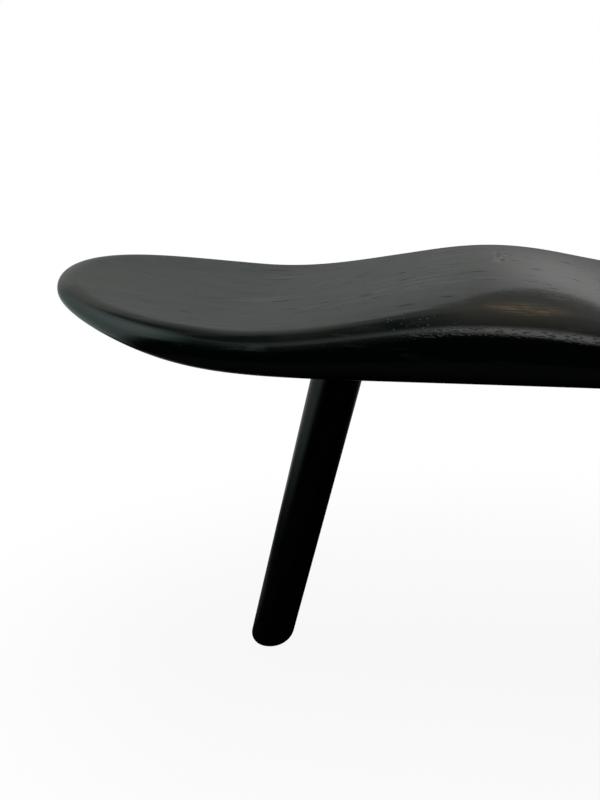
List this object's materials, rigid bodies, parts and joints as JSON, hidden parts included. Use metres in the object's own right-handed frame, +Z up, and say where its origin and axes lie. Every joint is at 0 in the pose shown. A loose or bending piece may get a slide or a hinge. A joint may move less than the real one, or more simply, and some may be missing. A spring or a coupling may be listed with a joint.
{
  "type": "wooden bench",
  "caption": "Carved black-stained wooden bench with two shallow seat hollows, a crowned hump between them, upturned rounded ends and splayed round legs.",
  "frame": {"origin": "on the floor, below the middle of the seat", "axes": "+X along the bench towards the pair of legs, +Y to the back, +Z up"},
  "size_m": [0.96, 0.43, 0.476],
  "materials": {
    "seat_wood": "black stain with a satin oil sheen, worn brown on the hump",
    "leg_wood": "black stain with a satin oil sheen",
    "dowel_wood": "bare, hidden in the seat",
    "wedge_wood": "bare, hidden in the tenons"
  },
  "bodies": {
    "root": {"seat_board_front": "seat_wood", "seat_board_front_inner": "seat_wood", "seat_board_middle": "seat_wood", "seat_board_back_inner": "seat_wood", "seat_board_back": "seat_wood", "leg_left": "leg_wood", "leg_front_right": "leg_wood", "leg_back_right": "leg_wood", "dowel_front_outer_left_end": "dowel_wood", "dowel_front_outer_left_middle": "dowel_wood", "dowel_front_outer_right_middle": "dowel_wood", "dowel_front_outer_right_end": "dowel_wood", "dowel_front_inner_left_end": "dowel_wood", "dowel_front_inner_left_middle": "dowel_wood", "dowel_front_inner_right_middle": "dowel_wood", "dowel_front_inner_right_end": "dowel_wood", "dowel_back_inner_left_end": "dowel_wood", "dowel_back_inner_left_middle": "dowel_wood", "dowel_back_inner_right_middle": "dowel_wood", "dowel_back_inner_right_end": "dowel_wood", "dowel_back_outer_left_end": "dowel_wood", "dowel_back_outer_left_middle": "dowel_wood", "dowel_back_outer_right_middle": "dowel_wood", "dowel_back_outer_right_end": "dowel_wood", "wedge_left": "wedge_wood", "wedge_front_right": "wedge_wood", "wedge_back_right": "wedge_wood"}
  },
  "joints": []
}
